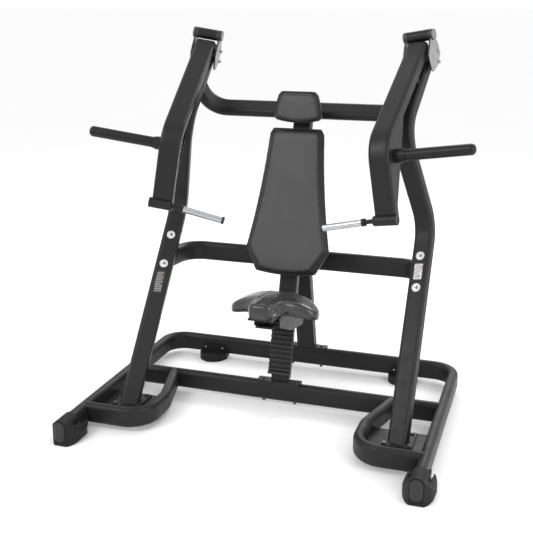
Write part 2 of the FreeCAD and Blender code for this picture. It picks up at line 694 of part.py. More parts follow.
# ---------------------------------------------------------------- pads
def pad_wire(inset, depth, origin, ahead_axis, up_axis, half_widths, heights):
    """Closed outline of a tapered pad: foot arc, wide corners, waisted sides, top."""
    def at(x, h):
        return origin + SIDE * x + up_axis * h - ahead_axis * depth

    low, wide, waist, top, crown = [w - inset for w in half_widths]
    h_low, h_wide, h_waist, h_top, h_crown = heights
    h_low += inset
    h_wide += inset * 0.4
    h_top -= inset * 0.4
    h_crown -= inset
    sag = 14
    return Part.Wire([
        Part.Arc(at(-low, h_low), at(0, h_low - sag), at(low, h_low)).toShape(),
        Part.makeLine(at(low, h_low), at(wide, h_wide)),
        Part.Arc(at(wide, h_wide), at(waist, h_waist), at(top, h_top)).toShape(),
        Part.makeLine(at(top, h_top), at(crown, h_crown)),
        Part.makeLine(at(crown, h_crown), at(-crown, h_crown)),
        Part.makeLine(at(-crown, h_crown), at(-top, h_top)),
        Part.Arc(at(-top, h_top), at(-waist, h_waist), at(-wide, h_wide)).toShape(),
        Part.makeLine(at(-wide, h_wide), at(-low, h_low))])


def pad(origin, ahead_axis, up_axis, half_widths, heights, thick, bevel_depth, bevel_in):
    """Cushion with a bevelled front; the origin is on its front face."""
    def wire(inset, depth):
        return pad_wire(inset, depth, origin, ahead_axis, up_axis, half_widths, heights)

    front = Part.makeLoft([wire(bevel_in, 0), wire(0, bevel_depth)], True, True)
    body = Part.Face(wire(0, bevel_depth)).extrude(ahead_axis * -(thick - bevel_depth))
    return front.fuse(body).removeSplitter()


def pad_board(origin, ahead_axis, up_axis, half_widths, heights, thick):
    """Flat board behind a cushion."""
    wire = pad_wire(10, thick, origin, ahead_axis, up_axis, half_widths, heights)
    return Part.Face(wire).extrude(ahead_axis * -BOARD)


BACK_HALVES = (152.0, 213.0, 171.0, 138.0, 122.0)
BACK_HEIGHTS = (10.0, 122.0, 365.0, 692.0, BACK_LENGTH)
HEAD_HALVES = (112.0, 122.0, 113.0, 100.0, 84.0)
HEAD_HEIGHTS = (0.0, 18.0, 72.0, 122.0, 140.0)
HEAD_THICK = 48.0
HEAD_BOTTOM = V(0, 361.0, 1386.0)
HEAD_AHEAD = unit(V(0, -1, 0.04))
HEAD_UP = unit(V(0, 0.04, 1))


def back_parts(post_outer):
    """Back cushion, its board with two brackets, head cushion and its board."""
    cushion = pad(BACK_BOTTOM, lean_front, lean_up, BACK_HALVES, BACK_HEIGHTS, CUSHION, 26, 30)
    board = pad_board(BACK_BOTTOM, lean_front, lean_up, BACK_HALVES, BACK_HEIGHTS, CUSHION)
    for height in (150, 520):
        centre = BACK_BOTTOM + lean_up * height - lean_front * (CUSHION + BOARD)
        bracket = straight_bar(centre - lean_up * 35, centre + lean_up * 35, SIDE,
                               128.0, 60.0, 4.0)
        keep = straight_bar(BACK_BOTTOM - lean_front * (CUSHION + BOARD + 40),
                            BACK_BOTTOM + lean_up * 720 - lean_front * (CUSHION + BOARD + 40),
                            SIDE, 200.0, 80.0, 1.0)
        board = board.fuse(bracket.common(keep))
    board = board.cut(post_outer).removeSplitter()
    head = pad(HEAD_BOTTOM, HEAD_AHEAD, HEAD_UP, HEAD_HALVES, HEAD_HEIGHTS, HEAD_THICK, 22, 24)
    head_board = pad_board(HEAD_BOTTOM, HEAD_AHEAD, HEAD_UP, HEAD_HALVES, HEAD_HEIGHTS,
                           HEAD_THICK)
    stub_start = HEAD_BOTTOM + HEAD_UP * 58 - HEAD_AHEAD * (HEAD_THICK + BOARD - 2)
    stub = straight_bar(stub_start, stub_start + V(0, 80, 0), SIDE, 70.0, 50.0, 8.0)
    head_board = head_board.fuse(stub).cut(post_outer)
    head_board = max(head_board.Solids, key=lambda solid: solid.Volume)
    return cushion, board, head, head_board.removeSplitter()


# ---------------------------------------------------------------- seat and its carriage
RACK_THICK = 18.0
SIDE_PLATE_X = 61.0
SIDE_PLATE = 5.0


def seat_rack():
    """Ribbed latch rack on the post's front face."""
    outline = [(0, -8), (24, -8), (24, 6)]
    for rib in range(RACK_RIBS):
        low = 8 + rib * RACK_PITCH
        outline += [(RACK_THICK - 9, low), (RACK_THICK, low + 4),
                    (RACK_THICK, low + RACK_PITCH - 9), (RACK_THICK - 9, low + RACK_PITCH - 5)]
    top = 12 + RACK_RIBS * RACK_PITCH
    outline += [(RACK_THICK - 9, top), (0, top)]
    start = post_front(-RACK_WIDE / 2, RACK_BOTTOM_Z)
    points = [start + lean_front * a + lean_up * h for a, h in outline]
    return Part.Face(Part.makePolygon(points + [points[0]])).extrude(SIDE * RACK_WIDE)


def tilted(shape):
    """The seat leans back a little about a line across its middle."""
    turned = shape.copy()
    turned.rotate(V(0, -20, SEAT_BOTTOM_Z + 30), SIDE, -SEAT_TILT)
    return turned


def seat_cushion():
    """T-shaped saddle: a nose to the front, wings that droop at their tips."""
    def at(x, y):
        return V(x, y, 440)

    plan = Part.Wire([
        Part.makeLine(at(-38, SEAT_NOSE_Y), at(38, SEAT_NOSE_Y)),
        Part.makeLine(at(38, SEAT_NOSE_Y), at(58, SEAT_NOSE_Y + 26)),
        Part.Arc(at(58, SEAT_NOSE_Y + 26), at(86, -62), at(168, -22)).toShape(),
        Part.Arc(at(168, -22), at(206, 4), at(SEAT_HALF, 50)).toShape(),
        Part.Arc(at(SEAT_HALF, 50), at(184, 98), at(106, SEAT_TAIL_Y - 8)).toShape(),
        Part.Arc(at(106, SEAT_TAIL_Y - 8), at(0, SEAT_TAIL_Y), at(-106, SEAT_TAIL_Y - 8)).toShape(),
        Part.Arc(at(-106, SEAT_TAIL_Y - 8), at(-184, 98), at(-SEAT_HALF, 50)).toShape(),
        Part.Arc(at(-SEAT_HALF, 50), at(-206, 4), at(-168, -22)).toShape(),
        Part.Arc(at(-168, -22), at(-86, -62), at(-58, SEAT_NOSE_Y + 26)).toShape(),
        Part.makeLine(at(-58, SEAT_NOSE_Y + 26), at(-38, SEAT_NOSE_Y))])
    prism = Part.Face(plan).extrude(V(0, 0, 200))

    def cross(x, z):
        return V(x, SEAT_NOSE_Y - 10, z)

    low, high = SEAT_BOTTOM_Z, SEAT_TOP_Z
    section = Part.Wire([
        Part.makeLine(cross(-64, low), cross(64, low)),
        Part.makeLine(cross(64, low), cross(SEAT_HALF + 5, low - 28)),
        Part.makeLine(cross(SEAT_HALF + 5, low - 28), cross(SEAT_HALF + 5, low + 2)),
        Part.Arc(cross(SEAT_HALF + 5, low + 2), cross(128, high - 14), cross(0, high)).toShape(),
        Part.Arc(cross(0, high), cross(-128, high - 14), cross(-SEAT_HALF - 5, low + 2)).toShape(),
        Part.makeLine(cross(-SEAT_HALF - 5, low + 2), cross(-SEAT_HALF - 5, low - 28)),
        Part.makeLine(cross(-SEAT_HALF - 5, low - 28), cross(-64, low))])
    beam = Part.Face(section).extrude(V(0, 450, 0))
    return tilted(prism.common(beam).removeSplitter())


def seat_pan():
    """Steel pan under the middle of the seat."""
    low = (-56, SEAT_NOSE_Y + 8, SEAT_BOTTOM_Z - 10)
    high = (56, SEAT_TAIL_Y - 30, SEAT_BOTTOM_Z)
    return tilted(block(low, high))


def seat_carriage():
    """Two side plates joined behind the post and ahead of the rack."""
    fall = math.tan(math.radians(SEAT_TILT))
    rise = math.cos(math.radians(SEAT_TILT))

    def top(y):
        return SEAT_BOTTOM_Z + 30 - 40 / rise - (y + 20) * fall

    outline = [(-94, top(-94)), (-93, 480), (103, 400), (286, 368), (312, 392), (262, 450),
               (150, top(150))]
    plates = []
    for sign in (-1, 1):
        x0 = sign * SIDE_PLATE_X - SIDE_PLATE / 2
        points = [V(x0, y, z) for y, z in outline]
        face = Part.Face(Part.makePolygon(points + [points[0]]))
        plates.append(face.extrude(SIDE * SIDE_PLATE))
    inner = SIDE_PLATE_X - SIDE_PLATE / 2
    z_low, z_high = 410, 470
    rear_low = post_front(0, z_low, -POST_DEEP - 7)
    rear_high = post_front(0, z_high, -POST_DEEP - 7)
    rear = straight_bar(rear_low, rear_high, SIDE, inner * 2, 6.0, 0.5)
    front_low = post_front(0, 452, RACK_THICK + 6)
    front_high = post_front(0, 500, RACK_THICK + 6)
    front = straight_bar(front_low, front_high, SIDE, inner * 2, 6.0, 0.5)
    deck_side = [(-94, top(-94)), (118, top(118)), (118, top(118) - 6), (-94, top(-94) - 6)]
    deck_points = [V(-inner, y, z) for y, z in deck_side]
    deck = Part.Face(Part.makePolygon(deck_points + [deck_points[0]])).extrude(SIDE * 2 * inner)
    deck = deck.cut(straight_bar(post_front(0, 380, -POST_DEEP / 2 + 2),
                                 post_front(0, 640, -POST_DEEP / 2 + 2), SIDE,
                                 RACK_WIDE + 2, POST_DEEP + 2 * RACK_THICK, 1.0))
    guides = []
    for z in (425, 455):
        for sign in (-1, 1):
            start = post_front(sign * (POST_WIDE / 2 + 0.4), z, -POST_DEEP / 2)
            guides.append(rod(start, V(sign * inner, start.y, start.z), 12.0))
    carriage = plates[0].fuse([plates[1], rear, front, deck] + guides).removeSplitter()
    pin = rod(V(-inner, LEVER_Y, LEVER_Z), V(inner, LEVER_Y, LEVER_Z), 5.0)
    return carriage.fuse(pin).removeSplitter()


def release_lever():
    """Paddle under the seat's nose that lifts the latch out of the rack."""
    hub = ring(V(-24, LEVER_Y, LEVER_Z), V(24, LEVER_Y, LEVER_Z), 9.0, 5.05)
    stem = block((-12, LEVER_Y - 62, LEVER_Z - 8), (12, LEVER_Y - 7, LEVER_Z))
    paddle = block((-44, LEVER_Y - 84, LEVER_Z - 9), (44, LEVER_Y - 54, LEVER_Z + 1))
    verticals = [edge for edge in paddle.Edges if abs(edge.Vertexes[0].Z - edge.Vertexes[1].Z) > 5]
    paddle = paddle.makeFillet(9.0, verticals)
    return hub.fuse([stem.cut(rod(V(-30, LEVER_Y, LEVER_Z), V(30, LEVER_Y, LEVER_Z), 8.0)),
                     paddle]).removeSplitter()


# ---------------------------------------------------------------- side bolts
def side_bolts(start, run, upright):
    """Button bolts through the sides of the lower run that hold a tie inside it."""
    bolts = []
    for z in (800.0, 390.0):
        centre = start + run * ((z - start.z) / run.z)
        outer_seat = centre + AXIS * (BOX_WIDE / 2)
        inner_seat = centre - AXIS * (BOX_WIDE / 2)
        for seat, inward in ((outer_seat, AXIS * -1), (inner_seat, AXIS)):
            bolts.append(button_bolt(seat, inward, 16, 4.0))
            upright = upright.cut(rod(seat + inward * -1, seat + inward * 17, 4.3))
    return bolts, upright


# ---------------------------------------------------------------- badges
def badge(start, run, front, distance, across, length, round_plate):
    """Thin plate on the upright's front face."""
    centre = start + run * distance + front * (BOX_DEEP / 2)
    if round_plate:
        return rod(centre, centre + front * 0.8, across / 2)
    outline = rounded_outline(centre, AXIS, run, across, length, 4.0)
    return Part.Face(outline).extrude(front * 0.8)


# ---------------------------------------------------------------- build
rail_outer, rail, beam_outer, beam, loop_outer, loop = base_tubes()
upright_points, upright_outer, upright_hollow = upright_parts()
upright, floor_plate, foot_bolts = foot_parts(upright_points, upright_outer, upright_hollow,
                                              rail_outer, loop_outer)
mid_outer, mid_beam, mid_start, mid_run, mid_rear = mid_u_beam(upright_points)
(upper_outer, upper_beam, upper_start, upper_run, upper_rear,
 upper_end) = upper_u_beam(upright_points)
shaft, cheeks, discs, cheek_bolts, upright = pivot_parts(upright)
tie_bolts, upright = side_bolts(upright_points[0], mid_run, upright)
post_outer, post = centre_post(beam_outer, upper_outer)
column = rear_column(rail_outer, mid_outer)
post_bolts, post_holes = base_bolts(MID_Y)
column_bolts, column_holes = base_bolts(REAR_Y)
for cutter in post_holes:
    post = post.cut(cutter)
    beam = beam.cut(cutter)
for cutter in column_holes:
    column = column.cut(cutter)
    rail = rail.cut(cutter)
foot_front, screws_front = front_foot(rail_outer)
foot_rear, screws_rear = rear_foot(rail_outer)
for cutter in rail_hole:
    rail = rail.cut(cutter).cut(mirrored(cutter))
cushion, board, head, head_board = back_parts(post_outer)
rack = seat_rack()
brace_start = V(0, MID_U_Y - OVAL_THIN / 2, MID_U_Z)
brace_outer, brace = straight_tube(brace_start, brace_start - V(0, 170, 0), SIDE, 70.0, 44.0, 8.0)
brace = brace.cut(post_outer)
brace = max(brace.Solids, key=lambda solid: solid.BoundBox.YMax)

save("base_rail_tube", rail)
save("middle_cross_beam", beam)
save_pair("loop_tube", loop)
save_pair("upright", upright)
save_pair("floor_plate", floor_plate)
save("upright_foot_bolts", foot_bolts + [mirrored(piece) for piece in foot_bolts])
save_pair("front_foot", foot_front)
save_pair("rear_foot", foot_rear)
foot_screws = screws_front + screws_rear
save("foot_screws", foot_screws + [mirrored(piece) for piece in foot_screws])
save("middle_u_beam", mid_beam)
save("upper_u_beam", upper_beam)
save("centre_post", post)
save("rear_column", column)
save("post_brace", brace)
save("base_plate_bolts", post_bolts + column_bolts)
save_pair("inner_pivot_cheek", cheeks[0])
save_pair("outer_pivot_cheek", cheeks[1])
save_pair("pivot_shaft", shaft)
save("shaft_end_discs", discs + [mirrored(piece) for piece in discs])
save("cheek_bolts", cheek_bolts + [mirrored(piece) for piece in cheek_bolts])
save("upright_side_bolts", tie_bolts + [mirrored(piece) for piece in tie_bolts])
save("seat_rack", rack)
save("back_cushion", cushion)
save("back_board", board)
save("head_cushion", head)
save("head_board", head_board)
save("seat_cushion", seat_cushion())
save("seat_pan", seat_pan())
save("seat_carriage", seat_carriage())
save("release_lever", release_lever())

pad_stop, stop_seat = arm_bumper()
stops = [pad_stop.fuse(stop_seat).removeSplitter()]
save("arm_bumpers", stops + [mirrored(piece) for piece in stops])

for part_name, piece in arm_parts().items():
    save_pair(part_name, piece)

lower_front = mid_rear * -1
badges = []
reach = (mid_start - upright_points[0]).Length
for distance, across, length, round_plate in ((reach + 128, 42, 42, True),
                                              (reach - 32, 42, 42, True)):
    badges.append(badge(upright_points[0], mid_run, lower_front, distance, across, length,
                        round_plate))
plain = badge(upright_points[0], mid_run, lower_front, reach + 48, 40, 78, False)
panel = badge(upright_points[0], mid_run, lower_front, reach - 132, 40, 118, False)
save("upright_badges", badges + [mirrored(piece) for piece in badges]
     + [plain, mirrored(panel)])

print("nodes:", len(os.listdir("parts")))
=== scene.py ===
import json
import math

import bmesh
import bpy
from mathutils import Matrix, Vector
from mathutils.bvhtree import BVHTree
from mathutils.kdtree import KDTree


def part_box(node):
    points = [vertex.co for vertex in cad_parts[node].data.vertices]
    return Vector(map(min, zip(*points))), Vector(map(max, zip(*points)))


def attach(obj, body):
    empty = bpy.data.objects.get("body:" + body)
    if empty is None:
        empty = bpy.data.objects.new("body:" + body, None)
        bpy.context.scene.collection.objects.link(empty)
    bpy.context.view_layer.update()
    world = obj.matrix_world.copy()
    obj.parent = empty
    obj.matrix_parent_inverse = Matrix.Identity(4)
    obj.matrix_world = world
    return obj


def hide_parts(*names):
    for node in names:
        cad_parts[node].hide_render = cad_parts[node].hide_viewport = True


# Looks of the chest press machine: powder-coated frame, vinyl cushions with sewn
# seams, chrome grips, rubber feet, plain badges.  Metres, in the CAD model's frame.

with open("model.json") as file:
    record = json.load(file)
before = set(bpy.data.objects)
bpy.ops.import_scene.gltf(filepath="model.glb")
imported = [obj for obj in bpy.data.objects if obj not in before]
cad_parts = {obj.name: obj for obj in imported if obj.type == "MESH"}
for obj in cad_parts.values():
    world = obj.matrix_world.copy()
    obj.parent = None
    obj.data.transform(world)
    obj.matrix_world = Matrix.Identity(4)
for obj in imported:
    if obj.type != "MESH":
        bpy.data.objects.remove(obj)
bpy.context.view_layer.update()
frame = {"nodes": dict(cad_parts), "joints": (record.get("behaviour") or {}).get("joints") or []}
NODES = frame["nodes"]

PIPING_R = 0.0017          # radius of the piping sewn into the cushion edges
LOWER_PIPING_R = 0.0022    # thicker piping round the seat's lower edge
STITCH_LENGTH = 0.0052
STITCH_STEP = 0.0078
STITCH_SIDES = 6
STITCH_HALF_WIDTH = 0.00055
STITCH_HALF_THICKNESS = 0.0005
STITCH_INSET = 0.0075      # from the panel seam to the row of stitches
SEAM_STEP = 0.004          # spacing of the points along a seam
SEAM_HOLD = 0.9            # how firmly a seam holds the cover while it swells
VOXEL = 0.005              # even mesh size for the cushions
SIM_FRAMES = 20
COVER_MASS = 0.25
COVER_STIFFNESS = 24
COVER_BENDING = 2.0
BADGE_R = 0.021
PIVOT_BOSS_R = 0.0285      # black boss in the middle of each pivot cheek
LABEL_ROWS = 6.5
MIX_COLOURS = (6, 7)       # a colour mix node's two inputs and its output
MIX_RESULT = 2


# ---------------------------------------------------------------- node materials
class Shader:
    """Small helper that builds one Principled material from procedural nodes."""

    def __init__(self, name, metallic=0.0, specular=0.5, coat=0.0, coat_rough=0.1, sheen=0.0):
        self.material = bpy.data.materials.new(name)
        self.material.use_nodes = True
        self.tree = self.material.node_tree
        self.tree.nodes.clear()
        self.bsdf = self.add("ShaderNodeBsdfPrincipled")
        output = self.add("ShaderNodeOutputMaterial")
        self.link(self.bsdf.outputs["BSDF"], output.inputs["Surface"])
        self.bsdf.inputs["Metallic"].default_value = metallic
        self.bsdf.inputs["Specular IOR Level"].default_value = specular
        self.bsdf.inputs["Coat Weight"].default_value = coat
        self.bsdf.inputs["Coat Roughness"].default_value = coat_rough
        self.bsdf.inputs["Sheen Weight"].default_value = sheen
        self.place = self.add("ShaderNodeTexCoord").outputs["Object"]

    def add(self, kind):
        return self.tree.nodes.new(kind)

    def link(self, source, target):
        self.tree.links.new(source, target)

    def noise(self, scale, detail=3.0, rough=0.55, stretch=None):
        node = self.add("ShaderNodeTexNoise")
        node.inputs["Scale"].default_value = scale
        node.inputs["Detail"].default_value = detail
        node.inputs["Roughness"].default_value = rough
        self.link(self.stretched(stretch) if stretch else self.place, node.inputs["Vector"])
        return node.outputs["Fac"]

    def stretched(self, factors):
        node = self.add("ShaderNodeMapping")
        node.inputs["Scale"].default_value = factors
        self.link(self.place, node.inputs["Vector"])
        return node.outputs["Vector"]

    def cells(self, scale):
        node = self.add("ShaderNodeTexVoronoi")
        node.feature = "DISTANCE_TO_EDGE"
        node.inputs["Scale"].default_value = scale
        self.link(self.place, node.inputs["Vector"])
        return node.outputs["Distance"]

    def ramp(self, value, stops, sharp=False):
        node = self.add("ShaderNodeValToRGB")
        if sharp:
            node.color_ramp.interpolation = "CONSTANT"
        elements = node.color_ramp.elements
        for index, (position, tone) in enumerate(stops):
            element = elements[index] if index < 2 else elements.new(position)
            element.position = position
            red, green, blue = tone if isinstance(tone, tuple) else (tone, tone, tone)
            element.color = (red, green, blue, 1.0)
        self.link(value, node.inputs["Fac"])
        return node.outputs["Color"]

    def mix(self, amount, first, second):
        node = self.add("ShaderNodeMix")
        node.data_type = "RGBA"
        self.link(amount, node.inputs["Factor"])
        for value, slot in zip((first, second), MIX_COLOURS):
            if isinstance(value, tuple):
                node.inputs[slot].default_value = (*value, 1.0)
            else:
                self.link(value, node.inputs[slot])
        return node.outputs[MIX_RESULT]

    def maths(self, operation, first, second=None, clamp=False):
        node = self.add("ShaderNodeMath")
        node.operation = operation
        node.use_clamp = clamp
        for index, value in enumerate((first, second)):
            if value is None:
                continue
            if isinstance(value, (int, float)):
                node.inputs[index].default_value = value
            else:
                self.link(value, node.inputs[index])
        return node.outputs["Value"]

    def along(self, centre, direction):
        """Distance of the surface point from a centre along a direction."""
        away = self.add("ShaderNodeVectorMath")
        away.operation = "SUBTRACT"
        self.link(self.place, away.inputs[0])
        away.inputs[1].default_value = centre
        dot = self.add("ShaderNodeVectorMath")
        dot.operation = "DOT_PRODUCT"
        self.link(away.outputs["Vector"], dot.inputs[0])
        dot.inputs[1].default_value = direction
        return dot.outputs["Value"]

    def edges(self, radius):
        """Rounded normal near sharp edges, and a mask that is bright on them."""
        bevel = self.add("ShaderNodeBevel")
        bevel.samples = 4
        bevel.inputs["Radius"].default_value = radius
        geometry = self.add("ShaderNodeNewGeometry")
        dot = self.add("ShaderNodeVectorMath")
        dot.operation = "DOT_PRODUCT"
        self.link(bevel.outputs["Normal"], dot.inputs[0])
        self.link(geometry.outputs["Normal"], dot.inputs[1])
        mask = self.maths("SUBTRACT", 1.0, dot.outputs["Value"], clamp=True)
        return bevel.outputs["Normal"], self.maths("MULTIPLY", mask, 3.0, clamp=True)

    def finish(self, colour, rough, height, strength, distance, normal=None):
        self.link(colour, self.bsdf.inputs["Base Color"])
        self.link(rough, self.bsdf.inputs["Roughness"])
        bump = self.add("ShaderNodeBump")
        bump.inputs["Strength"].default_value = strength
        bump.inputs["Distance"].default_value = distance
        self.link(height, bump.inputs["Height"])
        if normal is not None:
            self.link(normal, bump.inputs["Normal"])
        self.link(bump.outputs["Normal"], self.bsdf.inputs["Normal"])
        return self.material


def powder_coat(name, tone, rough=0.42, specular=0.27):
    """Satin powder coat: fine orange peel, faint blotches, slightly worn edges."""
    s = Shader(name, specular=specular)
    normal, edge = s.edges(0.0022)
    blotch = s.ramp(s.noise(5.0, 4.0), [(0.3, tone * 0.86), (0.7, tone * 1.12)])
    speck = s.ramp(s.noise(1400.0, 2.0), [(0.35, tone * 0.8), (0.65, tone * 1.35)])
    base = s.mix(s.noise(60.0, 2.0), blotch, speck)
    worn = s.maths("MULTIPLY", edge, s.noise(38.0, 4.0), clamp=True)
    colour = s.mix(worn, base, (tone * 3.4, tone * 3.4, tone * 3.5))
    roughness = s.ramp(s.noise(22.0, 3.0), [(0.3, rough - 0.05), (0.7, rough + 0.07)])
    return s.finish(colour, roughness, s.noise(900.0, 2.0), 0.22, 0.0004, normal)


def bare_metal(name, tone, rough, brushed=None, edge_radius=0.0008):
    """Plated or polished metal with fine directional scratches."""
    s = Shader(name, metallic=1.0)
    normal, _ = s.edges(edge_radius)
    stain = s.noise(45.0, 4.0)
    colour = s.ramp(stain, [(0.3, tuple(c * 0.88 for c in tone)), (0.7, tone)])
    scratch = s.noise(240.0, 3.0, stretch=brushed or (1.0, 1.0, 1.0))
    roughness = s.ramp(scratch, [(0.35, rough * 0.75), (0.7, rough * 1.35)])
    return s.finish(colour, roughness, scratch, 0.08, 0.0002, normal)


def moulded(name, tone, rough, grain=420.0, strength=0.3, specular=0.4):
    """Moulded rubber or plastic with a fine spark-eroded grain."""
    s = Shader(name, specular=specular)
    normal, edge = s.edges(0.0016)
    base = s.ramp(s.noise(14.0, 4.0), [(0.3, tone * 0.85), (0.7, tone * 1.2)])
    scuffed = s.maths("MULTIPLY", edge, s.noise(70.0, 4.0), clamp=True)
    colour = s.mix(scuffed, base, (tone * 2.6, tone * 2.6, tone * 2.6))
    roughness = s.ramp(s.noise(30.0, 3.0), [(0.3, rough - 0.06), (0.7, rough + 0.08)])
    return s.finish(colour, roughness, s.noise(grain, 3.0), strength, 0.0004, normal)


def vinyl(name, tone, rough, coat=0.0, specular=0.4, grain=520.0, strength=0.35):
    """Grained upholstery vinyl: small rounded cells with painted shade in the grooves between
    them, slight sheen.
    """
    s = Shader(name, specular=specular, coat=coat, coat_rough=0.18, sheen=0.08)
    cells = s.ramp(s.cells(grain), [(0.0, 0.0), (0.28, 1.0)])
    fine = s.noise(1500.0, 2.0)
    base = s.ramp(s.noise(7.0, 4.0), [(0.3, tone * 0.94), (0.7, tone * 1.06)])
    # painted shade: the low grooves between the grain cells are coloured darker
    groove_shade = tuple([tone * 0.72] * 3)
    colour = s.mix(s.ramp(cells, [(0.0, 0.0), (0.5, 1.0)]), groove_shade, base)
    height = s.maths("ADD", s.maths("MULTIPLY", cells, 0.8), s.maths("MULTIPLY", fine, 0.2))
    roughness = s.ramp(s.noise(16.0, 3.0), [(0.3, rough - 0.04), (0.7, rough + 0.06)])
    return s.finish(colour, roughness, height, strength, 0.00035)


def thread(name, tone):
    """Twisted sewing thread."""
    s = Shader(name, specular=0.3, sheen=0.2)
    twist = s.noise(2600.0, 1.0, stretch=(1.0, 1.0, 0.35))
    colour = s.ramp(twist, [(0.35, tone * 0.6), (0.65, tone * 1.3)])
    return s.finish(colour, s.ramp(twist, [(0.3, 0.6), (0.7, 0.8)]), twist, 0.5, 0.0003)


def cheek_tone_and_shade(name, centre, axis):
    """Light grey plate faces, partly the plate's tone and partly a painted reflection, with
    painted shade on the cut edges and black pivot bosses.
    """
    s = Shader(name, specular=0.45)
    normal, edge = s.edges(0.0016)
    offset = s.along(centre, axis)
    away = s.add("ShaderNodeVectorMath")
    away.operation = "DISTANCE"
    s.link(s.place, away.inputs[0])
    away.inputs[1].default_value = centre
    reach = away.outputs["Value"]
    radial = s.maths("SQRT", s.maths("SUBTRACT", s.maths("MULTIPLY", reach, reach),
                                     s.maths("MULTIPLY", offset, offset)))
    facing = s.add("ShaderNodeVectorMath")
    facing.operation = "DOT_PRODUCT"
    s.link(s.add("ShaderNodeNewGeometry").outputs["Normal"], facing.inputs[0])
    facing.inputs[1].default_value = axis
    # painted shade: every face turned away from the pivot axis (the plate's cut edges) is coloured
    # black
    edge_shade = s.maths("LESS_THAN", s.maths("ABSOLUTE", facing.outputs["Value"]), 0.8)
    boss_and_edge_shade = s.maths("MAXIMUM", s.maths("LESS_THAN", radial, PIVOT_BOSS_R), edge_shade)
    # the light grey of the faces is partly the plate's own tone and partly a painted reflection
    grey = s.ramp(s.noise(26.0, 4.0), [(0.3, 0.20), (0.7, 0.30)])
    worn = s.mix(s.maths("MULTIPLY", edge, s.noise(50.0, 3.0), clamp=True), grey,
                 (0.5, 0.5, 0.51))
    # black on the pivot boss, and black as painted shade on the cut edges
    colour = s.mix(boss_and_edge_shade, worn, (0.016, 0.016, 0.017))
    roughness = s.ramp(s.noise(30.0, 3.0), [(0.3, 0.33), (0.7, 0.46)])
    return s.finish(colour, roughness, s.noise(800.0, 2.0), 0.15, 0.0003, normal)


def badge_disc(name, centre, across, upward):
    """White round badge with a thin dark ring and a plain half-moon mark."""
    s = Shader(name, specular=0.5, coat=0.3)
    u = s.along(centre, across)
    v = s.along(centre, upward)
    radius = s.maths("SQRT", s.maths("ADD", s.maths("MULTIPLY", u, u),
                                     s.maths("MULTIPLY", v, v)))
    share = s.maths("DIVIDE", radius, BADGE_R)
    ring = s.ramp(share, [(0.0, 0.0), (0.80, 1.0), (0.87, 0.0)], sharp=True)
    inner = s.ramp(share, [(0.0, 1.0), (0.50, 0.0)], sharp=True)
    half = s.maths("GREATER_THAN", s.maths("ADD", u, s.maths("MULTIPLY", v, 0.5)), 0.0)
    bar = s.maths("LESS_THAN", s.maths("ABSOLUTE", s.maths("ADD", v, 0.002)), 0.0022)
    mark = s.maths("MULTIPLY", inner, s.maths("MAXIMUM", half, bar))
    ink = s.maths("MAXIMUM", mark, ring)
    white = s.ramp(s.noise(90.0, 3.0), [(0.3, 0.66), (0.7, 0.74)])
    colour = s.mix(ink, white, (0.11, 0.11, 0.115))
    roughness = s.ramp(s.noise(60.0, 2.0), [(0.3, 0.28), (0.7, 0.4)])
    return s.finish(colour, roughness, s.noise(500.0, 2.0), 0.05, 0.0002)


def label(name, centre, across, upward, half_wide, half_tall, field, ink_tone, accent):
    """Plain rectangular label: rows of blank bars and two small accent squares."""
    s = Shader(name, specular=0.5, coat=0.2)
    u = s.maths("DIVIDE", s.along(centre, across), half_wide)
    v = s.maths("DIVIDE", s.along(centre, upward), half_tall)
    rows = s.maths("FRACT", s.maths("MULTIPLY", s.maths("ADD", v, 1.0), LABEL_ROWS))
    in_row = s.maths("LESS_THAN", s.maths("ABSOLUTE", s.maths("SUBTRACT", rows, 0.5)), 0.2)
    row_number = s.maths("FLOOR", s.maths("MULTIPLY", s.maths("ADD", v, 1.0), LABEL_ROWS))
    row_length = s.maths("ADD", s.maths("MULTIPLY", s.maths("FRACT", s.maths(
        "MULTIPLY", row_number, 0.618)), 0.7), 0.15)
    short = s.maths("LESS_THAN", u, row_length)
    margin = s.maths("LESS_THAN", s.maths("ABSOLUTE", u), 0.76)
    border = s.maths("LESS_THAN", s.maths("ABSOLUTE", v), 0.84)
    bars = s.maths("MULTIPLY", s.maths("MULTIPLY", in_row, short),
                   s.maths("MULTIPLY", margin, border))
    square_u = s.maths("LESS_THAN", s.maths("ABSOLUTE", s.maths("SUBTRACT", u, 0.45)), 0.18)
    from_ends = s.maths("SUBTRACT", s.maths("ABSOLUTE", v), 0.6)
    square_v = s.maths("LESS_THAN", s.maths("ABSOLUTE", from_ends), 0.07)
    base = s.ramp(s.noise(80.0, 3.0), [(0.3, field * 0.92), (0.7, field * 1.04)])
    printed = s.mix(bars, base, (ink_tone, ink_tone, ink_tone))
    colour = s.mix(s.maths("MULTIPLY", square_u, square_v), printed, accent)
    roughness = s.ramp(s.noise(60.0, 2.0), [(0.3, 0.3), (0.7, 0.42)])
    return s.finish(colour, roughness, s.noise(500.0, 2.0), 0.05, 0.0002)


FRAME_BLACK = powder_coat("frame_powder_coat", 0.0105)
ARM_BLACK = powder_coat("arm_powder_coat", 0.0095, rough=0.38)
HORN_BLACK = powder_coat("horn_black", 0.008, rough=0.36, specular=0.26)
ZINC = bare_metal("zinc_plate", (0.50, 0.50, 0.49), 0.3)
DARK_BOLT = bare_metal("black_oxide_bolts", (0.15, 0.15, 0.155), 0.34)
STEEL = bare_metal("ground_steel", (0.56, 0.57, 0.58), 0.24, brushed=(1.0, 12.0, 12.0))
CHROME = bare_metal("polished_chrome", (0.50, 0.505, 0.52), 0.14, brushed=(1.0, 9.0, 9.0))
BRONZE = bare_metal("sintered_bronze", (0.52, 0.37, 0.18), 0.42)
RUBBER = moulded("foot_rubber", 0.009, 0.6, grain=300.0, specular=0.24)
PLASTIC = moulded("black_plastic", 0.018, 0.5)
BOARD = moulded("pad_board", 0.012, 0.55, grain=260.0)
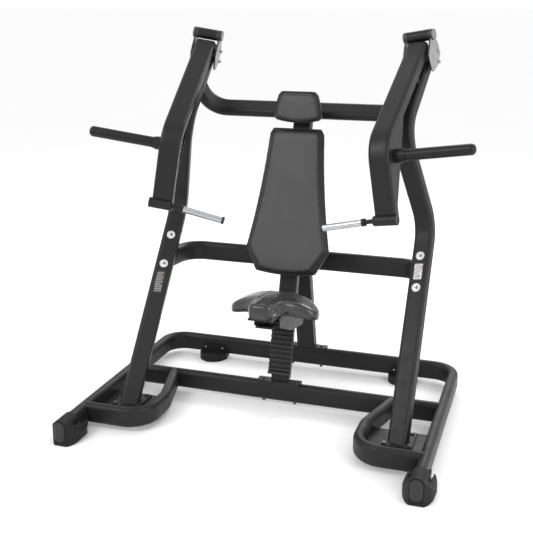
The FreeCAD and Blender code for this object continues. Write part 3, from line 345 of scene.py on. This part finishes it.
RACK = moulded("rack_black", 0.014, 0.45, grain=500.0, strength=0.2)
DISC_GREY = moulded("end_disc_grey", 0.18, 0.4, grain=500.0, strength=0.1)
PAD_FRONT = vinyl("pad_vinyl_grey", 0.070, 0.52, specular=0.28)
PAD_SIDE = vinyl("pad_vinyl_black", 0.007, 0.4, specular=0.3)
SEAT_VINYL = vinyl("seat_vinyl_black", 0.009, 0.28, coat=0.6, specular=0.45, grain=420.0)
PIPING = vinyl("piping_vinyl", 0.010, 0.38, specular=0.4, grain=900.0)
THREAD = thread("seam_thread", 0.03)


# ---------------------------------------------------------------- CAD nodes
def dress(material, *names):
    """Give CAD nodes a material."""
    for name in names:
        slots = NODES[name].data.materials
        slots.clear()
        slots.append(material)


def pair(*names):
    return [side + name for side in ("right_", "left_") for name in names]


dress(FRAME_BLACK, "base_rail_tube", "middle_cross_beam", "middle_u_beam", "upper_u_beam",
      "centre_post", "rear_column", "post_brace", "seat_pan", "seat_carriage", "release_lever",
      *pair("loop_tube", "upright", "floor_plate"))
dress(ARM_BLACK, *pair("arm_tube", "arm_gusset", "pivot_sleeve", "handle_barrel", "horn_collar"))
dress(HORN_BLACK, *pair("weight_horn"))
dress(CHROME, *pair("handle_grip"))
dress(HORN_BLACK, *pair("handle_bar"))
dress(STEEL, *pair("pivot_shaft"))
dress(BRONZE, *pair("pivot_bushes"))
dress(PLASTIC, *pair("grip_end_cap"))
dress(RUBBER, "arm_bumpers", *pair("front_foot", "rear_foot"))
dress(ZINC, "foot_screws", "cheek_bolts")
dress(DARK_BOLT, "upright_foot_bolts", "base_plate_bolts", "upright_side_bolts")
dress(DISC_GREY, "shaft_end_discs")
dress(BOARD, "back_board", "head_board")
dress(RACK, "seat_rack")

JOINTS = {joint["name"]: joint for joint in frame["joints"]}
for side in ("right", "left"):
    hinge = JOINTS[side + "_arm_swing"]
    # cheek material: plate tone with a painted reflection on the faces and painted shade on the
    # cut edges
    cheek_material = cheek_tone_and_shade(side + "_cheek_tone_and_shade", tuple(hinge["pos_m"]), tuple(hinge["axis"]))
    dress(cheek_material, side + "_inner_pivot_cheek", side + "_outer_pivot_cheek")


def islands(mesh):
    """Sets of polygons that share vertices, after merging split corners by place."""
    parent = {}

    def root(key):
        while parent[key] != key:
            parent[key] = parent[parent[key]]
            key = parent[key]
        return key

    def key_of(index):
        return tuple(round(c, 5) for c in mesh.vertices[index].co)

    for polygon in mesh.polygons:
        keys = [key_of(i) for i in polygon.vertices]
        for key in keys:
            parent.setdefault(key, key)
        for key in keys[1:]:
            parent[root(key)] = root(keys[0])
    groups = {}
    for polygon in mesh.polygons:
        groups.setdefault(root(key_of(polygon.vertices[0])), []).append(polygon)
    return list(groups.values())


def dress_badges():
    """Each badge solid gets its own plain print, set out from its own middle."""
    mesh = NODES["upright_badges"].data
    mesh.materials.clear()
    groups = islands(mesh)
    groups.sort(key=lambda group: tuple(round(c, 3) for c in sum(
        (p.center for p in group), Vector()) / len(group)))
    for number, group in enumerate(groups):
        points = [mesh.vertices[i].co for p in group for i in p.vertices]
        centre = Vector([(min(p[k] for p in points) + max(p[k] for p in points)) / 2
                         for k in range(3)])
        largest = max(group, key=lambda p: p.area)
        normal = largest.normal.copy()
        if normal.y > 0:
            normal.negate()
        across = Vector((0, 0, 1)).cross(normal).normalized()
        if across.x < 0:
            across.negate()
        upward = normal.cross(across).normalized()
        if upward.z < 0:
            upward.negate()
        spans = [max((p - centre).dot(a) for p in points) for a in (across, upward)]
        name = "badge_%d" % number
        if spans[1] < BADGE_R * 1.2:
            material = badge_disc(name, centre, across, upward)
        elif centre.x > 0:
            material = label(name, centre, across, upward, *spans, 0.62, 0.1, (0.5, 0.06, 0.05))
        else:
            material = label(name, centre, across, upward, *spans, 0.03, 0.32, (0.35, 0.06, 0.05))
        mesh.materials.append(material)
        for polygon in group:
            polygon.material_index = number


dress_badges()


# ---------------------------------------------------------------- cushions
def linked(name, mesh):
    piece = bpy.data.objects.new(name, mesh)
    bpy.context.scene.collection.objects.link(piece)
    return piece


def applied(piece):
    """Replace a piece's mesh by its evaluated one and drop its modifiers."""
    graph = bpy.context.evaluated_depsgraph_get()
    mesh = bpy.data.meshes.new_from_object(piece.evaluated_get(graph))
    piece.modifiers.clear()
    piece.data = mesh
    return piece


def shade_smooth(mesh):
    for polygon in mesh.polygons:
        polygon.use_smooth = True


def point_tree(points):
    """Nearest-point search tree of a list of points."""
    tree = KDTree(len(points))
    for index, point in enumerate(points):
        tree.insert(point, index)
    tree.balance()
    return tree


def boundary(mesh, inside):
    """Ordered outline of the faces that pass a test, from a copy with merged corners."""
    work = bmesh.new()
    work.from_mesh(mesh)
    bmesh.ops.remove_doubles(work, verts=work.verts, dist=1e-5)
    chosen = {face for face in work.faces if inside(face.normal, face.calc_center_median())}
    rim = [edge for edge in work.edges if sum(face in chosen for face in edge.link_faces) == 1]
    beside = {}
    for edge in rim:
        a, b = edge.verts
        beside.setdefault(a, []).append(b)
        beside.setdefault(b, []).append(a)
    loops = []
    left = set(beside)
    while left:
        start = max(left, key=lambda vert: (vert.co.z, vert.co.x))
        loop, previous, here = [], None, start
        while here in left:
            left.discard(here)
            loop.append(here.co.copy())
            onward = [vert for vert in beside[here] if vert is not previous and vert in left]
            if not onward:
                break
            previous, here = here, onward[0]
        loops.append(loop)
    work.free()
    return max(loops, key=lambda loop: sum((loop[i] - loop[i - 1]).length
                                           for i in range(len(loop))))


def resampled(loop, step):
    """Evenly spaced points round a closed loop."""
    closed = loop + [loop[0]]
    lengths = [0.0]
    for i in range(1, len(closed)):
        lengths.append(lengths[-1] + (closed[i] - closed[i - 1]).length)
    count = max(8, int(lengths[-1] / step))
    points, segment = [], 1
    for k in range(count):
        target = lengths[-1] * k / count
        while lengths[segment] < target:
            segment += 1
        span = lengths[segment] - lengths[segment - 1]
        share = (target - lengths[segment - 1]) / span if span > 0 else 0.0
        points.append(closed[segment - 1].lerp(closed[segment], share))
    return points


def rounded(points, passes):
    """A loop with its corners eased."""
    for _ in range(passes):
        points = [(points[i - 1] + points[i] * 2 + points[(i + 1) % len(points)]) / 4
                  for i in range(len(points))]
    return points


def puffed(source, name, pins, smooth, shrink, pressure, cap):
    """Cushion form: even mesh of the foam block, inflated as cloth between its seams."""
    piece = linked(name, source.data.copy())
    remesh = piece.modifiers.new("even", "REMESH")
    remesh.mode = "VOXEL"
    remesh.voxel_size = VOXEL * 1
    ease = piece.modifiers.new("ease", "SMOOTH")
    ease.factor = 0.5
    ease.iterations = smooth
    applied(piece)
    mesh = piece.data
    normals = [vert.normal.copy() for vert in mesh.vertices]
    for vert, normal in zip(mesh.vertices, normals):
        vert.co -= normal * shrink
    before = [vert.co.copy() for vert in mesh.vertices]
    held = piece.vertex_groups.new(name="held")
    for vert in mesh.vertices:
        weight = pins(vert.co)
        if weight > 0:
            held.add([vert.index], weight, "REPLACE")
    cloth = piece.modifiers.new("cover", "CLOTH")
    settings = cloth.settings
    settings.quality = 6
    settings.mass = COVER_MASS
    settings.tension_stiffness = COVER_STIFFNESS
    settings.compression_stiffness = COVER_STIFFNESS
    settings.bending_stiffness = COVER_BENDING
    settings.use_pressure = True
    settings.uniform_pressure_force = pressure
    settings.effector_weights.gravity = 0.0
    settings.vertex_group_mass = "held"
    cloth.collision_settings.use_collision = False
    cloth.point_cache.frame_start = 1
    cloth.point_cache.frame_end = SIM_FRAMES
    for number in range(1, SIM_FRAMES + 1):
        bpy.context.scene.frame_set(number)
    applied(piece)
    for vert, start in zip(piece.data.vertices, before):
        move = vert.co - start
        if move.length > cap:
            vert.co = start + move * (cap / move.length)
    bpy.context.scene.frame_set(1)
    return piece


def groove(piece, lines, width, depth):
    """Press the cover in along its seams."""
    tree = point_tree([point for line in lines for point in line])
    normals = [vert.normal.copy() for vert in piece.data.vertices]
    for vert, normal in zip(piece.data.vertices, normals):
        _, _, distance = tree.find(vert.co)
        if distance < width * 2.5:
            vert.co -= normal * depth * math.exp(-(distance / width) ** 2)


def surface(piece):
    """Search tree of a piece's mesh."""
    work = bmesh.new()
    work.from_mesh(piece.data)
    tree = BVHTree.FromBMesh(work)
    work.free()
    return tree


def laid(tree, points, lift):
    """Points moved onto a surface and lifted a little."""
    result = []
    for point in points:
        place, normal, _, _ = tree.find_nearest(point)
        result.append(place + normal * lift)
    return result


def piping(name, points, radius, body):
    """Sewn piping: a thin round cord of cover material along a closed line."""
    curve = bpy.data.curves.new(name, "CURVE")
    curve.dimensions = "3D"
    curve.bevel_depth = radius
    curve.bevel_resolution = 3
    spline = curve.splines.new("POLY")
    spline.points.add(len(points) - 1)
    for target, point in zip(spline.points, points):
        target.co = (*point, 1.0)
    spline.use_cyclic_u = True
    temporary = linked(name + "_line", curve)
    graph = bpy.context.evaluated_depsgraph_get()
    mesh = bpy.data.meshes.new_from_object(temporary.evaluated_get(graph))
    bpy.data.objects.remove(temporary)
    piece = linked(name, mesh)
    shade_smooth(mesh)
    mesh.materials.clear()
    mesh.materials.append(PIPING)
    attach(piece, body)


def stitches(name, tree, points, body):
    """A row of short thread stitches lying on the cover."""
    work = bmesh.new()
    for index, point in enumerate(points):
        ahead = points[(index + 1) % len(points)] - point
        if ahead.length < 1e-6:
            continue
        ahead.normalize()
        place, normal, _, _ = tree.find_nearest(point)
        across = ahead.cross(normal).normalized()
        rings = []
        for share, width in ((-1.0, 0.25), (-0.6, 0.85), (0.0, 1.0), (0.6, 0.85), (1.0, 0.25)):
            middle = place + ahead * share * STITCH_LENGTH / 2
            lift = 0.0005 * (1 - share * share)
            ring = []
            for turn in range(STITCH_SIDES):
                angle = math.tau * turn / STITCH_SIDES
                aside = across * math.cos(angle) * STITCH_HALF_WIDTH * width
                rise = lift + math.sin(angle) * STITCH_HALF_THICKNESS * width
                ring.append(work.verts.new(middle + aside + normal * rise))
            rings.append(ring)
        for first, second in zip(rings, rings[1:]):
            for turn in range(STITCH_SIDES):
                after = (turn + 1) % STITCH_SIDES
                work.faces.new((first[turn], first[after], second[after], second[turn]))
        work.faces.new(rings[0][::-1])
        work.faces.new(rings[-1])
    mesh = bpy.data.meshes.new(name)
    work.to_mesh(mesh)
    work.free()
    shade_smooth(mesh)
    mesh.materials.append(THREAD)
    piece = linked(name, mesh)
    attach(piece, body)


def inward(points, distance, normal):
    """A loop moved towards its own inside, in the plane across a normal."""
    middle = sum(points, Vector()) / len(points)
    moved = []
    for i, point in enumerate(points):
        along = (points[(i + 1) % len(points)] - points[i - 1]).normalized()
        side = along.cross(normal).normalized()
        if side.dot(middle - point) < 0:
            side.negate()
        moved.append(point + side * distance)
    return moved


def in_outline(point, outline, across, upward):
    """Whether a point is inside a closed outline, seen along its normal."""
    u, v = point.dot(across), point.dot(upward)
    flips = False
    for i in range(len(outline)):
        a, b = outline[i - 1], outline[i]
        au, av, bu, bv = a.dot(across), a.dot(upward), b.dot(across), b.dot(upward)
        if (av > v) != (bv > v) and u < au + (v - av) * (bu - au) / (bv - av):
            flips = not flips
    return flips


def finish_cushion(piece, body, node):
    """Smooth, refine and hand over a cushion."""
    refine = piece.modifiers.new("refine", "SUBSURF")
    refine.levels = refine.render_levels = 1
    applied(piece)
    shade_smooth(piece.data)
    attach(piece, body)
    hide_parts(node)


def flat_pad(node, name, cap, widen, stretch):
    """Back or head cushion: grey front panel, black bevelled border, sewn edges."""
    board_grip, seam_reach, panel_depth = 0.012, 0.010, 0.014
    seam_width, seam_depth = 0.0045, 0.0014
    source = NODES[node]
    polygons = source.data.polygons
    front_face = max((p for p in polygons if p.normal.y < -0.5), key=lambda p: p.area)
    ahead = front_face.normal.copy()
    across = Vector((1, 0, 0))
    upward = ahead.cross(across).normalized()
    if upward.z < 0:
        upward.negate()
    front_at = front_face.center.dot(ahead)
    back_at = min(vert.co.dot(ahead) for vert in source.data.vertices)
    panel = boundary(source.data, lambda normal, _: normal.dot(ahead) > 0.97)
    border = boundary(source.data, lambda normal, _: normal.dot(ahead) > 0.2)
    panel_line = rounded(resampled(panel, SEAM_STEP), 6)
    panel_middle = sum(panel_line, Vector()) / len(panel_line)
    half_tall = max((point - panel_middle).dot(upward) for point in panel_line)
    panel_line = [point + upward * stretch * (point - panel_middle).dot(upward) / half_tall
                  for point in inward(panel_line, -widen, ahead)]
    border_line = rounded(resampled(border, SEAM_STEP), 6)
    seam_tree = point_tree(panel_line + border_line)

    def pins(place):
        if place.dot(ahead) < back_at + board_grip:
            return 1.0
        distance = seam_tree.find(place)[2]
        return max(0.0, 1.0 - distance / seam_reach) * SEAM_HOLD

    piece = puffed(source, name, pins, smooth=4, shrink=0.0018, pressure=3.5, cap=cap)
    groove(piece, [panel_line], seam_width, seam_depth)
    mesh = piece.data
    mesh.materials.clear()
    mesh.materials.append(PAD_FRONT)
    mesh.materials.append(PAD_SIDE)
    for polygon in mesh.polygons:
        inside = (polygon.center.dot(ahead) > front_at - panel_depth
                  and in_outline(polygon.center, panel_line, across, upward))
        polygon.material_index = 0 if inside else 1
    finish_cushion(piece, "frame", node)
    tree = surface(piece)
    piping(name + "_front_piping", laid(tree, panel_line, 0.0004), PIPING_R, "frame")
    piping(name + "_border_piping", laid(tree, border_line, 0.0003), PIPING_R, "frame")
    row = resampled(inward(panel_line, STITCH_INSET, ahead), STITCH_STEP)
    stitches(name + "_stitches", tree, row, "frame")


flat_pad("back_cushion", "back_pad", cap=0.007, widen=0.006, stretch=0.003)
flat_pad("head_cushion", "head_pad", cap=0.006, widen=0.008, stretch=0.003)


def saddle():
    """Seat: a full saddle form with rounded edges, a sewn lower edge and a nose seam."""
    post_half, post_height, edge_reach = 0.06, 0.07, 0.012
    nose_inset, rear_inset = 0.006, 0.02
    channel_points, channel_start, channel_short = 70, 0.03, 0.05
    channel_spread, channel_bow = 0.034, 0.010
    channel_width, channel_depth = 0.0055, 0.0016
    source = NODES["seat_cushion"]
    low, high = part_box("seat_cushion")
    base = boundary(source.data, lambda normal, _: normal.z < -0.6)
    base_line = rounded(resampled(base, SEAM_STEP), 10)

    base_tree = point_tree(base_line)

    def pins(place):
        if abs(place.x) < post_half and place.z < low.z + post_height:
            return 1.0
        return max(0.0, 1.0 - base_tree.find(place)[2] / edge_reach) * SEAM_HOLD

    piece = puffed(source, "seat_saddle", pins, smooth=60, shrink=-0.0065, pressure=2.0,
                   cap=0.006)
    nose_y = low.y + nose_inset
    nose = boundary(source.data, lambda normal, centre: normal.y < -0.9)
    nose_line = rounded(resampled(nose, SEAM_STEP), 10)
    rear_y = high.y - rear_inset
    channels = []
    for sign in (-1, 1):
        line = []
        for step in range(channel_points):
            share = step / (channel_points - 1)
            y = nose_y + channel_start + (rear_y - nose_y - channel_short) * share
            spread = channel_spread + channel_bow * math.sin(math.pi * share)
            line.append(Vector((sign * spread, y, high.z)))
        channels.append(line)
    tree = surface(piece)
    fallen = []
    for line in channels:
        dropped = []
        for point in line:
            place = tree.ray_cast(point + Vector((0, 0, 0.1)), Vector((0, 0, -1)))[0]
            if place is not None:
                dropped.append(place)
        fallen.append(dropped)
    groove(piece, fallen, channel_width, channel_depth)
    piece.data.materials.clear()
    piece.data.materials.append(SEAT_VINYL)
    finish_cushion(piece, "seat", "seat_cushion")
    tree = surface(piece)
    piping("seat_lower_piping", laid(tree, base_line, 0.0004), LOWER_PIPING_R, "seat")
    piping("seat_nose_piping", laid(tree, nose_line, 0.0003), PIPING_R, "seat")
    for number, line in enumerate(fallen):
        row = [line[i] for i in range(0, len(line), 2)]
        stitches("seat_stitches_%d" % number, tree, row, "seat")


saddle()


# ---------------------------------------------------------------- rail end caps
def rail_cap(foot):
    """Domed oval cap over the end of a side rail, standing out of its foot."""
    low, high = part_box(foot)
    middle_x = (low.x + high.x) / 2
    radius, straight, middle_z, sides = 0.0265, 0.022, 0.070, 48
    dome = ((-0.004, 1.0), (0.002, 1.0), (0.006, 0.95), (0.009, 0.82), (0.0105, 0.55))
    work = bmesh.new()
    rings = []
    for proud, scale in dome:
        ring = []
        for step in range(sides):
            angle = math.tau * step / sides
            rise = straight if math.sin(angle) >= 0 else -straight
            ring.append(work.verts.new((middle_x + math.cos(angle) * radius * scale, low.y - proud,
                                        middle_z + rise + math.sin(angle) * radius * scale)))
        rings.append(ring)
    for first, second in zip(rings, rings[1:]):
        for step in range(sides):
            after = (step + 1) % sides
            work.faces.new((first[step], first[after], second[after], second[step]))
    work.faces.new(rings[0])
    work.faces.new(rings[-1][::-1])
    bmesh.ops.recalc_face_normals(work, faces=work.faces)
    mesh = bpy.data.meshes.new(foot + "_rail_cap")
    work.to_mesh(mesh)
    work.free()
    shade_smooth(mesh)
    mesh.materials.append(PLASTIC)
    piece = linked(foot + "_rail_cap", mesh)
    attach(piece, "frame")


rail_cap("right_front_foot")
rail_cap("left_front_foot")


# ---------------------------------------------------------------- stage and lights
def floor():
    """Pale seamless floor."""
    half = 400.0
    mesh = bpy.data.meshes.new("floor")
    mesh.from_pydata([(-half, -half, 0), (half, -half, 0), (half, half, 0), (-half, half, 0)],
                     [], [(0, 1, 2, 3)])
    piece = linked("floor", mesh)
    s = Shader("floor_pale", specular=0.2)
    colour = s.ramp(s.noise(0.6, 3.0), [(0.3, 0.96), (0.7, 0.975)])
    mesh.materials.append(s.finish(colour, s.ramp(s.noise(3.0), [(0.3, 0.8), (0.7, 0.9)]),
                                   s.noise(200.0), 0.02, 0.0002))


def softbox(name, place, aim, size, power):
    """Large soft area light."""
    light = bpy.data.lights.new(name, "AREA")
    light.shape = "RECTANGLE"
    light.size, light.size_y = size
    light.energy = power
    lamp = bpy.data.objects.new(name, light)
    bpy.context.scene.collection.objects.link(lamp)
    lamp.location = place
    lamp.rotation_euler = (Vector(aim) - Vector(place)).to_track_quat("-Z", "Y").to_euler()


floor()
world = bpy.data.worlds.new("studio")
bpy.context.scene.world = world
world.use_nodes = True
background = world.node_tree.nodes["Background"]
background.inputs["Color"].default_value = (1.0, 1.0, 1.0, 1.0)
background.inputs["Strength"].default_value = 1.0

softbox("key", (-2.6, -3.4, 4.2), (0.0, 0.1, 0.8), (2.4, 2.4), 90)
softbox("fill", (4.2, -1.6, 2.6), (0.0, 0.2, 0.9), (2.0, 3.0), 70)
softbox("back", (0.5, 4.0, 3.6), (0.0, 0.2, 0.9), (3.4, 1.6), 90)

bpy.context.scene.view_settings.view_transform = "Standard"
bpy.context.scene.view_settings.look = "None"

CAMERA_PLACE = (1.240, -3.8613, 1.927)
CAMERA_DOWN, CAMERA_TURN = 16.31, 18.36        # degrees
CAMERA_LENS, SENSOR_WIDTH = 60.46, 36.0        # millimetres
camera_data = bpy.data.cameras.new("camera")
camera = bpy.data.objects.new("camera", camera_data)
bpy.context.scene.collection.objects.link(camera)
camera.location = CAMERA_PLACE
camera.rotation_euler = (math.radians(90 - CAMERA_DOWN), 0.0, math.radians(CAMERA_TURN))
camera_data.lens = CAMERA_LENS
camera_data.sensor_width = SENSOR_WIDTH
bpy.context.scene.camera = camera
